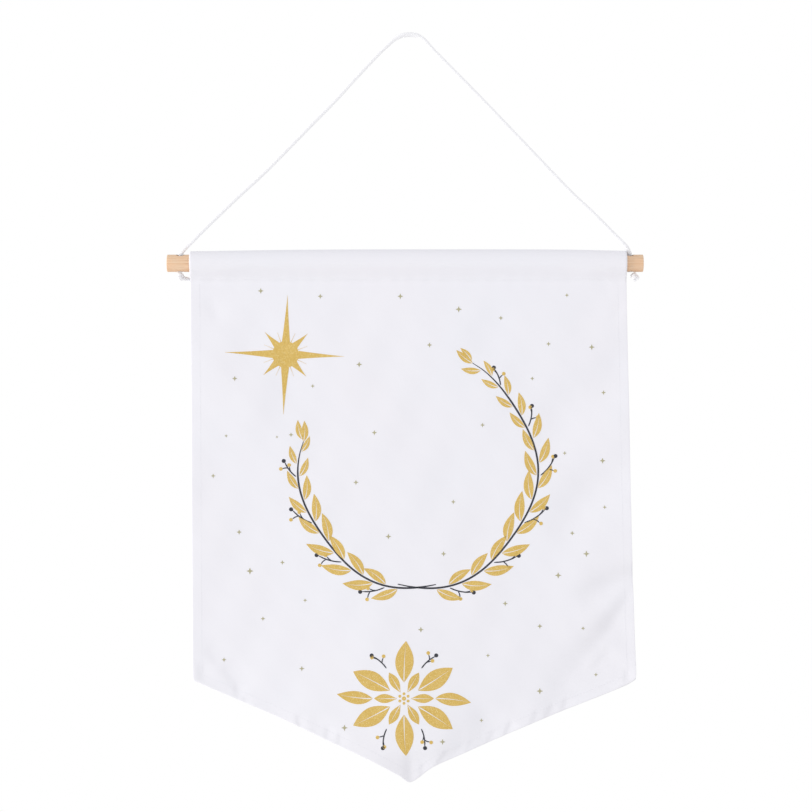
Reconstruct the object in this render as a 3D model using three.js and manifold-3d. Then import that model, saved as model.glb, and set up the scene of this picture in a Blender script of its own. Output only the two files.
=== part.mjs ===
// A church banner: white cloth with a pointed foot, sleeved over a round wooden rod that hangs from a cord.
// Millimetres, +Z up, +X to the right. The printed face of the cloth looks along -Y.
// The origin is where a hook or nail carries the cord, at the underside of the cord's topmost bend.
import * as THREE from 'three';
import { mergeVertices } from 'three/addons/utils/BufferGeometryUtils.js';
import Module from 'manifold-3d';

const wasm = await Module();
wasm.setup();

const rod = {
  length: 440,
  radius: 8,
  sides: 36,
  centreX: -4.5,
  axisZ: -209.4,
  edgeBreak: 0.6, // the sanded edge at each sawn end
  holeInset: 12.1, // from each end to the middle of its cord hole
  holeRadius: 3.4,
  holeSides: 18,
};

const cord = {
  diameter: 4.2,
  sides: 10,
  ringPitch: 10.5, // the longest step between two rings of the tube
};

const knot = {
  rodGap: 0.3, // between the knot and the rod above it
  wrapRadius: 2.1, // middle of a turn of cord round the core
  strandRadius: 1.7, // cord squeezed thin inside the knot
  wrapLean: 0.28, // radians that each turn leans
  turnPitch: 2.9,
  ringSides: 16,
  strandSides: 9,
  coreRadius: 1.9,
};

const cloth = {
  thickness: 1.4,
  hemWidth: 10,
  hemStep: 1, // the hem's inner edge falls back to single cloth over this width
  rodGap: 0.3,
  seamDrop: 14.5, // from the rod's axis down to the sleeve's seam
  seamMargin: 2.5, // turned edge of the sleeve below its seam
  halfColumns: 14, // between a side hem and the tip
  panelRows: 27,
  sleeveSteps: 14,
};

const rodEndX = { left: rod.centreX - rod.length / 2, right: rod.centreX + rod.length / 2 };
const holeX = { left: rodEndX.left + rod.holeInset, right: rodEndX.right - rod.holeInset };
const rodFoot = rod.axisZ - rod.radius;

// Side edges of the cloth by height: it hangs a little wider, and further right, towards its foot.
const sideEdges = [
  { z: -197, left: -203.8, right: 200.2 },
  { z: -236, left: -203.1, right: 200.3 },
  { z: -336, left: -202.3, right: 202.5 },
  { z: -475, left: -201.6, right: 205.4 },
  { z: -567, left: -201.1, right: 208.6 },
  { z: -588, left: -200.7, right: 209.3 },
  { z: -596, left: -200.5, right: 208.6 },
];

// The pointed foot, as heights by their share of the way from the left corner to the right corner.
const footLine = [
  { share: 0, z: -595.3 },
  { share: 0.033, z: -601.2 },
  { share: 0.112, z: -614.8 },
  { share: 0.199, z: -630.1 },
  { share: 0.3, z: -649.5 },
  { share: 0.402, z: -669.1 },
  { share: 0.467, z: -683.4 },
  { share: 0.491, z: -689.1 },
  { share: 0.54, z: -675.8 },
  { share: 0.6, z: -664.6 },
  { share: 0.72, z: -643.0 },
  { share: 0.826, z: -624.9 },
  { share: 0.98, z: -599.6 },
  { share: 1, z: -594.6 },
];

// How far the top of the sleeve stands up off the rod, by share of the cloth's width.
const sleeveRise = [
  { share: 0, rise: 0 },
  { share: 0.25, rise: 1.4 },
  { share: 0.5, rise: 1.8 },
  { share: 0.85, rise: 1.6 },
  { share: 1, rise: 0.5 },
];

// Folds of the hanging cloth. Each runs from one point to the other; depth is positive where it dips away
// from the front, spread is its half width at its start and at its end.
const folds = [
  { fromX: 214, fromZ: -508, toX: 108, toZ: -640, depth: 3.0, startSpread: 8, endSpread: 19 },
  { fromX: 196, fromZ: -555, toX: 150, toZ: -622, depth: -1.8, startSpread: 9, endSpread: 12 },
  { fromX: 207, fromZ: -486, toX: 160, toZ: -530, depth: 1.2, startSpread: 7, endSpread: 12 },
  { fromX: 209, fromZ: -392, toX: 128, toZ: -452, depth: 1.4, startSpread: 12, endSpread: 18 },
  { fromX: 205, fromZ: -296, toX: 112, toZ: -372, depth: 1.2, startSpread: 14, endSpread: 20 },
  { fromX: -197, fromZ: -545, toX: -146, toZ: -618, depth: 1.8, startSpread: 8, endSpread: 12 },
  { fromX: -203, fromZ: -300, toX: -120, toZ: -352, depth: -1.0, startSpread: 14, endSpread: 22 },
];

// Slow waves across the lower cloth, which swings free of the rod's straight line.
const footWaves = { depth: 2.2, waves: 1.4, phase: 0.9, tipForward: 2.5 };

// The cord, from under the left hole over the hook to under the right hole: across and up.
const cordRoute = [
  [holeX.left, rodFoot],
  [holeX.left, -210.5],
  [holeX.left, -204.4],
  [-212.1, -202.1],
  [-211.2, -199.9],
  [-209.8, -198.0],
  [-198.6, -186.6],
  [-187.4, -175.5],
  [-159.1, -148.1],
  [-134.3, -125.0],
  [-109.5, -98.5],
  [-81.4, -70.8],
  [-52.9, -39.4],
  [-28.1, -13.0],
  [-20.8, -6.6],
  [-14.0, -1.6],
  [-7.2, 1.2],
  [0, 2.1],
  [6.6, 1.0],
  [13.0, -2.6],
  [19.8, -9.6],
  [34.2, -25.8],
  [60.8, -52.5],
  [85.5, -78.2],
  [110.3, -104.7],
  [136.8, -133.9],
  [166.9, -162.2],
  [188.1, -182.1],
  [200.6, -193.4],
  [201.9, -194.9],
  [202.9, -197.0],
  [holeX.right, -199.9],
  [holeX.right, -207.5],
  [holeX.right, rodFoot],
];

// Each knot sits under its hole, turned by its tilt in radians. Its tail leaves the knot's middle through
// points given across, back and up from the middle of the knot's top.
const knotPlaces = [
  {
    name: 'left_knot',
    x: holeX.left - 0.1,
    tilt: 0.15,
    tail: [
      [0.4, 0.4, -5.2],
      [4.0, 2.4, -5.7],
      [7.0, 4.8, -6.2],
      [9.4, 5.7, -8.6],
      [9.9, 5.6, -11.8],
      [9.7, 5.4, -15.0],
    ],
  },
  {
    name: 'right_knot',
    x: holeX.right + 1.8,
    tilt: -0.75,
    tail: [
      [0.6, -0.4, -3.4],
      [2.4, -1.4, -4.4],
      [4.4, -1.6, -5.2],
      [6.0, -1.2, -5.9],
    ],
  },
];

const paint = {
  banner_cloth: { color: 0xf1f0f4, roughness: 0.78, metalness: 0 },
  wooden_rod: { color: 0xe6c6a4, roughness: 0.6, metalness: 0 },
  hanging_cord: { color: 0xefefef, roughness: 0.85, metalness: 0 },
  left_knot: { color: 0xefefef, roughness: 0.85, metalness: 0 },
  right_knot: { color: 0xefefef, roughness: 0.85, metalness: 0 },
};

function namedMesh(name, geometry) {
  const mesh = new THREE.Mesh(geometry, new THREE.MeshStandardMaterial(paint[name]));
  mesh.name = name;
  return mesh;
}

function toSolid(geometry) {
  const bare = geometry.clone();
  bare.deleteAttribute('normal');
  bare.deleteAttribute('uv');
  const merged = mergeVertices(bare, 1e-4);
  return new wasm.Manifold(
    new wasm.Mesh({
      numProp: 3,
      vertProperties: new Float32Array(merged.attributes.position.array),
      triVerts: new Uint32Array(merged.index.array),
    }),
  );
}

function toGeometry(solid) {
  const mesh = solid.getMesh();
  const geometry = new THREE.BufferGeometry();
  geometry.setAttribute('position', new THREE.BufferAttribute(mesh.vertProperties, 3));
  geometry.setIndex(new THREE.BufferAttribute(mesh.triVerts, 1));
  return geometry;
}

function roundSection(radius, sides) {
  const corners = [];
  for (let side = 0; side < sides; side++) {
    const turn = (2 * Math.PI * side) / sides;
    corners.push(new THREE.Vector2(radius * Math.cos(turn), radius * Math.sin(turn)));
  }
  return new THREE.Shape(corners);
}

// A table's column at a given place along its key, eased so that the slope has no kinks.
function readTable(table, key, column, place) {
  const rising = table[table.length - 1][key] > table[0][key];
  const passed = (row) => (rising ? row[key] <= place : row[key] >= place);
  const last = table.length - 2;
  const start = Math.min(last, Math.max(0, table.filter(passed).length - 1));
  const before = table[Math.max(0, start - 1)];
  const from = table[start];
  const to = table[start + 1];
  const after = table[Math.min(table.length - 1, start + 2)];
  const span = to[key] - from[key];
  const t = THREE.MathUtils.clamp((place - from[key]) / span, 0, 1);
  const slopeFrom = ((to[column] - before[column]) / (to[key] - before[key])) * span;
  const slopeTo = ((after[column] - from[column]) / (after[key] - from[key])) * span;
  const t2 = t * t;
  const t3 = t2 * t;
  const ease = 2 * t3 - 3 * t2;
  return (
    from[column] * (1 + ease) - to[column] * ease + slopeFrom * (t3 - 2 * t2 + t) + slopeTo * (t3 - t2)
  );
}

// The tube's rings stand closer together round the bends, where the listed points do, than on the straights.
class CordPath extends THREE.CatmullRomCurve3 {
  constructor(points, ringPitch) {
    super(points, false, 'centripetal');
    this.rings = [0];
    const spans = points.length - 1;
    for (let span = 0; span < spans; span++) {
      const steps = Math.ceil(points[span].distanceTo(points[span + 1]) / ringPitch);
      for (let step = 1; step <= steps; step++) this.rings.push((span + step / steps) / spans);
    }
  }

  getPointAt(share, target) {
    return this.getPoint(this.rings[Math.round(share * (this.rings.length - 1))], target);
  }

  getTangentAt(share, target) {
    return this.getTangent(this.rings[Math.round(share * (this.rings.length - 1))], target);
  }
}

function tubeAlong(points, radius, sides, ringPitch) {
  const path = new CordPath(points, ringPitch);
  return new THREE.ExtrudeGeometry(roundSection(radius, sides), {
    steps: path.rings.length - 1,
    extrudePath: path,
    bevelEnabled: false,
  });
}

function makeRod() {
  const half = rod.length / 2;
  const dowel = new THREE.LatheGeometry(
    [
      new THREE.Vector2(0, -half),
      new THREE.Vector2(rod.radius - rod.edgeBreak, -half),
      new THREE.Vector2(rod.radius, -half + rod.edgeBreak),
      new THREE.Vector2(rod.radius, half - rod.edgeBreak),
      new THREE.Vector2(rod.radius - rod.edgeBreak, half),
      new THREE.Vector2(0, half),
    ],
    rod.sides,
  );
  dowel.rotateZ(-Math.PI / 2);
  dowel.translate(rod.centreX, 0, rod.axisZ);
  let solid = toSolid(dowel);
  for (const x of [holeX.left, holeX.right]) {
    const drill = new THREE.CylinderGeometry(rod.holeRadius, rod.holeRadius, 4 * rod.radius, rod.holeSides);
    drill.rotateX(Math.PI / 2);
    drill.translate(x, 0, rod.axisZ);
    solid = solid.subtract(toSolid(drill));
  }
  return toGeometry(solid);
}

function makeCord() {
  const points = cordRoute.map(([x, z]) => new THREE.Vector3(x, 0, z));
  return tubeAlong(points, cord.diameter / 2, cord.sides, cord.ringPitch);
}

// Two leaning turns round a core, and the free tail that leaves them.
function makeKnot(place) {
  const reach = knot.wrapRadius * Math.sin(knot.wrapLean) + knot.strandRadius;
  const height = knot.turnPitch + 2 * reach;
  const core = new THREE.CylinderGeometry(knot.coreRadius, knot.coreRadius, height, knot.strandSides);
  core.rotateX(Math.PI / 2);
  const pieces = [core];
  for (const turn of [-1, 1]) {
    const { wrapRadius, strandRadius, strandSides, ringSides } = knot;
    const wrap = new THREE.TorusGeometry(wrapRadius, strandRadius, strandSides, ringSides);
    wrap.rotateY(turn * knot.wrapLean);
    wrap.translate(0, 0, (turn * knot.turnPitch) / 2);
    pieces.push(wrap);
  }
  for (const piece of pieces) {
    piece.rotateY(place.tilt);
    piece.computeBoundingBox();
  }
  const top = rodFoot - knot.rodGap;
  const rise = top - Math.max(...pieces.map((piece) => piece.boundingBox.max.z));
  for (const piece of pieces) piece.translate(place.x, 0, rise);
  const tail = place.tail.map(([x, y, z]) => new THREE.Vector3(place.x + x, y, top + z));
  pieces.push(tubeAlong(tail, knot.strandRadius, knot.strandSides, cord.diameter));
  return toGeometry(pieces.map(toSolid).reduce((joined, solid) => joined.add(solid)));
}

function foldDepth(x, z) {
  let depth = 0;
  for (const fold of folds) {
    const runX = fold.toX - fold.fromX;
    const runZ = fold.toZ - fold.fromZ;
    const run = Math.hypot(runX, runZ);
    const along = ((x - fold.fromX) * runX + (z - fold.fromZ) * runZ) / (run * run);
    const across = ((x - fold.fromX) * runZ - (z - fold.fromZ) * runX) / run;
    const spread = THREE.MathUtils.lerp(fold.startSpread, fold.endSpread, THREE.MathUtils.clamp(along, 0, 1));
    const fade = Math.exp(-Math.pow(2 * (along - 0.5), 4));
    depth += fold.depth * fade * Math.exp(-0.5 * (across / spread) ** 2);
  }
  return depth;
}

const seamZ = rod.axisZ - cloth.seamDrop;
const tip = footLine.reduce((lowest, row) => (row.z < lowest.z ? row : lowest));

// How far behind its straight-hanging plane the cloth lies, nothing at the seam and most near the foot.
function clothDepth(x, z, share) {
  const drop = THREE.MathUtils.clamp((seamZ - z) / (seamZ - tip.z), 0, 1);
  const wave = Math.sin(2 * Math.PI * (footWaves.waves * share) + footWaves.phase);
  const held = THREE.MathUtils.smoothstep(seamZ - z, 0, 40);
  return footWaves.depth * drop * drop * wave - footWaves.tipForward * drop ** 3 + held * foldDepth(x, z);
}

// Shares of the cloth's width for the columns: a pair on each side at the hem's step, and one at the tip.
function columnShares() {
  const width = sideEdges[0].right - sideEdges[0].left;
  const hem = cloth.hemWidth / width;
  const step = cloth.hemStep / width;
  const single = hem + step;
  const shares = [0, hem];
  for (const [from, to] of [[single, tip.share], [tip.share, 1 - single]]) {
    for (let column = 0; column < cloth.halfColumns; column++) {
      shares.push(THREE.MathUtils.lerp(from, to, column / cloth.halfColumns));
    }
  }
  return [...shares, 1 - single, 1 - hem, 1];
}

// Heights of the rows of the hanging panel at one column, from its foot up to just below the seam.
function panelHeights(share) {
  const foot = readTable(footLine, 'share', 'z', share);
  const hemTop = foot + cloth.hemWidth * 1.1;
  const head = seamZ - cloth.seamMargin - cloth.hemStep;
  const heights = [foot, hemTop, hemTop + cloth.hemStep];
  const inner = cloth.panelRows - 4;
  for (let row = 1; row <= inner; row++) {
    heights.push(THREE.MathUtils.lerp(hemTop + cloth.hemStep, head, row / (inner + 1)));
  }
  heights.push(head);
  return heights;
}

// One upright slice through the cloth: its outline as [across, back, up] points, and the sleeve's hollow.
function clothSlice(share) {
  const width = sideEdges[0].right - sideEdges[0].left;
  const sideHem = Math.min(share, 1 - share) * width <= cloth.hemWidth + 1e-6;
  const single = cloth.thickness;
  const wall = sideHem ? 2 * single : single;
  const lowestSide = sideEdges[sideEdges.length - 1].z;
  const place = (y, z) => {
    const level = Math.max(z, lowestSide);
    const left = readTable(sideEdges, 'z', 'left', level);
    const right = readTable(sideEdges, 'z', 'right', level);
    const x = THREE.MathUtils.lerp(left, right, share);
    return [x, y + clothDepth(x, z, share), z];
  };

  // The sleeve lies on the rod's round and runs straight from there to the seam, front and back alike. Its
  // flat facets, not their corners, keep the gap to the rod.
  const outerRadius = rod.radius + cloth.rodGap + 2 * single;
  const innerRadius = outerRadius - wall;
  const seamReach = Math.hypot(single, cloth.seamDrop);
  const touch = Math.PI - Math.atan(single / cloth.seamDrop) - Math.acos(outerRadius / seamReach);
  const facet = Math.cos(touch / cloth.sleeveSteps);
  const rise = readTable(sleeveRise, 'share', 'rise', share);
  const sleevePoint = (radius, step) => {
    const turn = THREE.MathUtils.lerp(-touch, touch, step / cloth.sleeveSteps);
    const cornerRadius = step === 0 || step === cloth.sleeveSteps ? radius : radius / facet;
    const z = cornerRadius * Math.cos(turn);
    const lift = Math.max(0, z / outerRadius);
    return place(cornerRadius * Math.sin(turn), rod.axisZ + z + rise * lift);
  };

  const heights = panelHeights(share);
  const isFootHem = (row) => row <= 1;
  const outline = [];
  for (const z of heights) outline.push(place(-single, z));
  outline.push(place(-single, seamZ));
  for (let step = 0; step <= cloth.sleeveSteps; step++) {
    outline.push(sleevePoint(outerRadius, step));
  }
  outline.push(place(single, seamZ));
  outline.push(place(single, seamZ - cloth.seamMargin));
  for (let row = heights.length - 1; row >= 0; row--) {
    const hemmed = sideHem || isFootHem(row);
    outline.push(place(hemmed ? single : 0, heights[row]));
  }

  const hollow = [];
  const touchY = innerRadius * Math.sin(touch);
  const touchZ = innerRadius * Math.cos(touch);
  const lineY = outerRadius * Math.sin(touch) - single;
  const lineZ = outerRadius * Math.cos(touch) + cloth.seamDrop;
  const hollowFoot = rod.axisZ + touchZ - (touchY * lineZ) / lineY;
  hollow.push(place(0, hollowFoot));
  for (let step = 0; step <= cloth.sleeveSteps; step++) {
    hollow.push(sleevePoint(innerRadius, step));
  }
  return { outline, hollow };
}

// Joins equal slices side by side into one closed body, whose end faces are pierced by the hollow.
function joinSlices(slices) {
  const rings = slices.map((slice) => [...slice.outline, ...slice.hollow]);
  const outlineCount = slices[0].outline.length;
  const ringCount = rings[0].length;
  const triangles = [];
  const corner = (ring, index) => ring * ringCount + index;
  const wallBetween = (ring, start, count, facing) => {
    for (let index = 0; index < count; index++) {
      const here = start + index;
      const next = start + ((index + 1) % count);
      const quad = [corner(ring, here), corner(ring, next), corner(ring + 1, next), corner(ring + 1, here)];
      if (facing < 0) quad.reverse();
      triangles.push(quad[0], quad[1], quad[2], quad[0], quad[2], quad[3]);
    }
  };
  for (let ring = 0; ring < rings.length - 1; ring++) {
    wallBetween(ring, 0, outlineCount, -1);
    wallBetween(ring, outlineCount, ringCount - outlineCount, 1);
  }
  for (const end of [0, rings.length - 1]) {
    const flat = rings[end].map(([, y, z]) => new THREE.Vector2(y, z));
    const faces = THREE.ShapeUtils.triangulateShape(flat.slice(0, outlineCount), [flat.slice(outlineCount)]);
    const outward = end === 0 ? -1 : 1;
    for (const [a, b, c] of faces) {
      const turn = flat[b].clone().sub(flat[a]).cross(flat[c].clone().sub(flat[a]));
      const order = turn * outward > 0 ? [a, b, c] : [a, c, b];
      triangles.push(...order.map((index) => corner(end, index)));
    }
  }
  const geometry = new THREE.BufferGeometry();
  geometry.setAttribute('position', new THREE.Float32BufferAttribute(rings.flat(2), 3));
  geometry.setIndex(triangles);
  return geometry;
}

function makeCloth() {
  return joinSlices(columnShares().map(clothSlice));
}

const banner = new THREE.Group();
banner.add(namedMesh('banner_cloth', makeCloth()));
banner.add(namedMesh('wooden_rod', makeRod()));
banner.add(namedMesh('hanging_cord', makeCord()));
for (const place of knotPlaces) {
  banner.add(namedMesh(place.name, makeKnot(place)));
}

export default banner;
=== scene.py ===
import math

import bmesh
import bpy
import numpy as np
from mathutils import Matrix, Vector


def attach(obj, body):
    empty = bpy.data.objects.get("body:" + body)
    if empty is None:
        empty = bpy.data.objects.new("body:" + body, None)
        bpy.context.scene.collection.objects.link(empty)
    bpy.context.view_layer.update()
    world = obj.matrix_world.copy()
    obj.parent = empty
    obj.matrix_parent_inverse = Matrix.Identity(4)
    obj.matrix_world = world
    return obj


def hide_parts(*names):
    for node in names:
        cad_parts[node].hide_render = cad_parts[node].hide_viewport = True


# A church banner: printed white cloth, sleeved over a wooden rod that hangs from a braided cord.
# Sizes are in millimetres until Blender gets them, in the pack's frame: +Z up, +X right, the print faces -Y.

mm = 0.001
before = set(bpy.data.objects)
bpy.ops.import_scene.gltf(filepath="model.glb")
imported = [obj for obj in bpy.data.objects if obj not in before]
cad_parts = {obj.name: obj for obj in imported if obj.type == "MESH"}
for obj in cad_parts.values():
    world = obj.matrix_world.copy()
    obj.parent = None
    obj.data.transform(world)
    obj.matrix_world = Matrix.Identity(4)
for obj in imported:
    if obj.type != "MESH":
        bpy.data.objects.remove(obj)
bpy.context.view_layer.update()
scene = bpy.context.scene
scene.view_settings.view_transform = "Standard"
print("frame loaded:", sorted(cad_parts))

cameraView = {
    "across": 751.1,  # width of the view where the cloth hangs
    "x": -3.7,
    "z": -341.4,
    "distance": 2200,
    "sensor": 36,
}


def addObject(name, data):
    thing = bpy.data.objects.new(name, data)
    scene.collection.objects.link(thing)
    return thing


def placeCamera():
    data = bpy.data.cameras.new("frontCamera")
    data.sensor_width = cameraView["sensor"]
    data.lens = cameraView["sensor"] * cameraView["distance"] / cameraView["across"]
    camera = addObject("frontCamera", data)
    camera.location = Vector((cameraView["x"], -cameraView["distance"], cameraView["z"])) * mm
    camera.rotation_euler = (math.radians(90), 0, 0)
    scene.camera = camera


placeCamera()


def linear(hexColour):
    channels = [int(hexColour[at:at + 2], 16) / 255 for at in (1, 3, 5)]
    return (*[c / 12.92 if c <= 0.04045 else ((c + 0.055) / 1.055) ** 2.4 for c in channels], 1.0)


# Adds one node and gives its outputs; an input given a socket is linked to it, any other takes the value.
def addNode(tree, kind, inputs, **settings):
    node = tree.nodes.new("ShaderNode" + kind)
    for setting, value in settings.items():
        setattr(node, setting, value)
    for name, value in inputs.items():
        if isinstance(value, bpy.types.NodeSocket):
            tree.links.new(value, node.inputs[name])
        else:
            node.inputs[name].default_value = value
    return node.outputs


# layPattern puts a pattern's nodes into the tree. It gives what goes into the shader, and the relief, if any,
# as its height, its strength and its depth in millimetres.
def makeMaterial(name, layPattern, *details):
    material = bpy.data.materials.new(name)
    material.use_nodes = True
    tree = material.node_tree
    tree.nodes.clear()
    inputs, relief = layPattern(tree, *details)
    if relief:
        height, strength, depth = relief
        bump = addNode(tree, "Bump", {"Height": height, "Strength": strength, "Distance": depth * mm})
        inputs["Normal"] = bump[0]
    shader = addNode(tree, "BsdfPrincipled", inputs)
    addNode(tree, "OutputMaterial", {"Surface": shader[0]})
    return material


# A tone that drifts between two colours in clouds this many millimetres wide; gives the clouds as well.
def cloudyTone(tree, place, width, detail, low, high):
    clouds = addNode(tree, "TexNoise", {"Vector": place, "Scale": 1 / (width * mm), "Detail": detail})["Fac"]
    tone = addNode(tree, "Mix", {0: clouds, 6: linear(low), 7: linear(high)}, data_type="RGBA")
    return tone[2], clouds


# Lays a colour over a tone: where the pattern goes from one value to another, so does the colour's share.
def tinted(tree, tone, colour, pattern, values, shares):
    mask = addNode(tree, "MapRange", {
        "Value": pattern,
        "From Min": values[0], "From Max": values[1], "To Min": shares[0], "To Max": shares[1],
    })
    return addNode(tree, "Mix", {0: mask[0], 6: tone, 7: linear(colour)}, data_type="RGBA")[2]


wavePeriod = 0.314  # metres from line to line in a wave texture of scale 1

studio = {
    "target": (-4, 0, -360),
    "floorZ": -1050,  # well under the hanging banner
    "floorRadius": 1900,
    "floorColour": "#f4f3f1",
    "roomColour": "#f7f7fa",
    "roomLight": 0.879,
    "lamps": [  # name, place, size, watts, colour
        ("keyLamp", (-8650, -2480, -600), 4200, 465, "#fffdfb"),
        ("fillLamp", (2600, -4000, -200), 2200, 6, "#f8f9ff"),
        ("backLamp", (-7250, 3380, -300), 3000, 137, "#ffffff"),
    ],
}


def lightStudio():
    world = bpy.data.worlds.new("paleRoom")
    world.use_nodes = True
    tree = world.node_tree
    tree.nodes.clear()
    ray = addNode(tree, "LightPath", {})
    glow = {"Color": linear(studio["roomColour"]), "Strength": studio["roomLight"]}
    room = addNode(tree, "Background", glow)
    backdrop = addNode(tree, "Background", {"Color": linear("#ffffff"), "Strength": 1.0})
    mix = addNode(tree, "MixShader", {0: ray["Is Camera Ray"], 1: room[0], 2: backdrop[0]})
    addNode(tree, "OutputWorld", {"Surface": mix[0]})
    scene.world = world
    for name, place, size, watts, colour in studio["lamps"]:
        data = bpy.data.lights.new(name, "AREA")
        data.shape, data.size, data.energy, data.color = "DISK", size * mm, watts, linear(colour)[:3]
        lamp = addObject(name, data)
        lamp.location = Vector(place) * mm
        lamp.rotation_euler = (Vector(studio["target"]) - Vector(place)).to_track_quat("-Z", "Y").to_euler()


# Plain matt paint, with no detail of its own.
def floorPaint(tree):
    return {"Base Color": linear(studio["floorColour"]), "Roughness": 0.9}, None


def addSolid(name, bm, material):
    mesh = bpy.data.meshes.new(name)
    bm.to_mesh(mesh)
    bm.free()
    mesh.materials.append(material)
    return addObject(name, mesh)


def layFloor():
    disc = bmesh.new()
    bmesh.ops.create_circle(disc, cap_ends=True, segments=96, radius=studio["floorRadius"] * mm)
    floor = addSolid("paleFloor", disc, makeMaterial("matteFloorPaint", floorPaint))
    floor.location = (0, 0, studio["floorZ"] * mm)


lightStudio()
layFloor()
print("camera, light and floor ready")


# uvs lay the surface flat, in millimetres: one for each point, or one for each face's corner.
def makePiece(name, points, faces, material, uvs=None):
    mesh = bpy.data.meshes.new(name)
    mesh.from_pydata((np.array(points) * mm).tolist(), [], faces)
    mesh.shade_smooth()
    if uvs is not None:
        if len(uvs) == len(points):
            corners = np.empty(len(mesh.loops), int)
            mesh.loops.foreach_get("vertex_index", corners)
            uvs = uvs[corners]
        mesh.uv_layers.new(name="flat").data.foreach_set("uv", (uvs * mm).ravel())
    mesh.materials.append(material)
    piece = addObject(name, mesh)
    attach(piece, "root")
    return piece


def applyModifiers(piece):
    done = bpy.data.meshes.new_from_object(piece.evaluated_get(bpy.context.evaluated_depsgraph_get()))
    piece.modifiers.clear()
    piece.data = done
    return done


# Thickens a face into a closed sheet behind it, with crisp cut edges.
def giveThickness(piece, thickness):
    solidify = piece.modifiers.new("thickness", "SOLIDIFY")
    solidify.thickness, solidify.offset = thickness * mm, -1
    applyModifiers(piece).set_sharp_from_angle(angle=math.radians(40))
    return piece


def gridFaces(rows, columns, start=0, ring=False):
    row, column = np.meshgrid(np.arange(rows - 1), np.arange(columns if ring else columns - 1), indexing="ij")
    after = (column + 1) % columns
    corners = [(row, column), (row, after), (row + 1, after), (row + 1, column)]
    return (np.stack([(r * columns + c).ravel() for r, c in corners], axis=1) + start).tolist()


# The skin of a tube made of rings of points, closed at both ends.
def tubeFaces(rings, sides, start=0):
    last = start + (rings - 1) * sides
    caps = [list(range(start, start + sides))[::-1], list(range(last, last + sides))]
    return gridFaces(rings, sides, start, ring=True) + caps


def smoothStep(value, low, high):
    t = np.clip((value - low) / (high - low), 0, 1)
    return t * t * (3 - 2 * t)


# Goes smoothly from one value to another, leaving and arriving with the given slopes.
def easeBetween(start, end, leave, arrive, t):
    turn = 3 * t**2 - 2 * t**3
    return start * (1 - turn) + end * turn + leave * (t**3 - 2 * t**2 + t) + arrive * (t**3 - t**2)


# Reads a column of a table at any place in its first column, eased so that the slope has no kinks.
def readTable(rows, place, column=1):
    keys, values = np.array(rows, float).T[[0, column]]
    if keys[0] > keys[-1]:
        keys, place = -keys, -place
    here = np.clip(np.searchsorted(keys, place, side="right") - 1, 0, len(keys) - 2)
    before, after = np.maximum(here - 1, 0), np.minimum(here + 2, len(keys) - 1)
    span = keys[here + 1] - keys[here]
    leave = (values[here + 1] - values[before]) / (keys[here + 1] - keys[before]) * span
    arrive = (values[after] - values[here]) / (keys[after] - keys[here]) * span
    t = np.clip((place - keys[here]) / span, 0, 1)
    return easeBetween(values[here], values[here + 1], leave, arrive, t)


# How far along its line each point is. Lines that lie side by side can be measured together.
def goneAlong(points):
    steps = np.linalg.norm(np.diff(points, axis=0), axis=-1)
    return np.concatenate([steps[:1] * 0, np.cumsum(steps, axis=0)])


# A smooth line through the points, centripetal so that it doesn't loop at close points, in even steps.
def smoothLine(points, step):
    points = np.asarray(points, float)
    ends = np.vstack([2 * points[0] - points[1], points, 2 * points[-1] - points[-2]])
    dense = [points[0]]
    for at in range(1, len(ends) - 2):
        p0, p1, p2, p3 = ends[at - 1:at + 3]
        d0, d1, d2 = np.sqrt(np.linalg.norm(np.diff(ends[at - 1:at + 3], axis=0), axis=1))
        leave = ((p1 - p0) / d0 - (p2 - p0) / (d0 + d1) + (p2 - p1) / d1) * d1
        arrive = ((p2 - p1) / d1 - (p3 - p1) / (d1 + d2) + (p3 - p2) / d2) * d1
        dense += [easeBetween(p1, p2, leave, arrive, t) for t in np.linspace(0, 1, 13)[1:]]
    dense = np.array(dense)
    gone = goneAlong(dense)
    marks = np.linspace(0, gone[-1], max(2, round(gone[-1] / step)) + 1)
    return np.stack([np.interp(marks, gone, column) for column in dense.T], axis=1), gone[-1]


# Two directions square to the line at each of its points, carried along without twisting.
def carryFrames(line):
    along = np.gradient(line, axis=0)
    along /= np.linalg.norm(along, axis=1, keepdims=True)
    side = np.cross(along[0], (0, 0, 1) if abs(along[0][2]) < 0.9 else (0, 1, 0))
    sides = []
    for direction in along:
        side = side - direction * np.dot(side, direction)
        side = side / np.linalg.norm(side)
        sides.append(side)
    sides = np.array(sides)
    return sides, np.cross(along, sides)


rod = {
    "length": 440,
    "radius": 8,
    "centreX": -4.5,
    "axisZ": -209.4,
    "edgeRound": 0.6,
    "holeInset": 12.1,
    "holeRadius": 3.4,
    "holeEdge": 0.8,  # the drilled edge, worn round; it and the hole's walls are painted dark brown as shade
    "holeLean": math.radians(9.5),  # drilled a little askew, so that the mouths come forward
    "sides": 96,
    "lengthSteps": 24,
    "holeSides": 48,
}
rodLeft = rod["centreX"] - rod["length"] / 2
rodRight = rod["centreX"] + rod["length"] / 2
holeLeft = rodLeft + rod["holeInset"]
holeRight = rodRight - rod["holeInset"]
rodFoot = rod["axisZ"] - rod["radius"]

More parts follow.
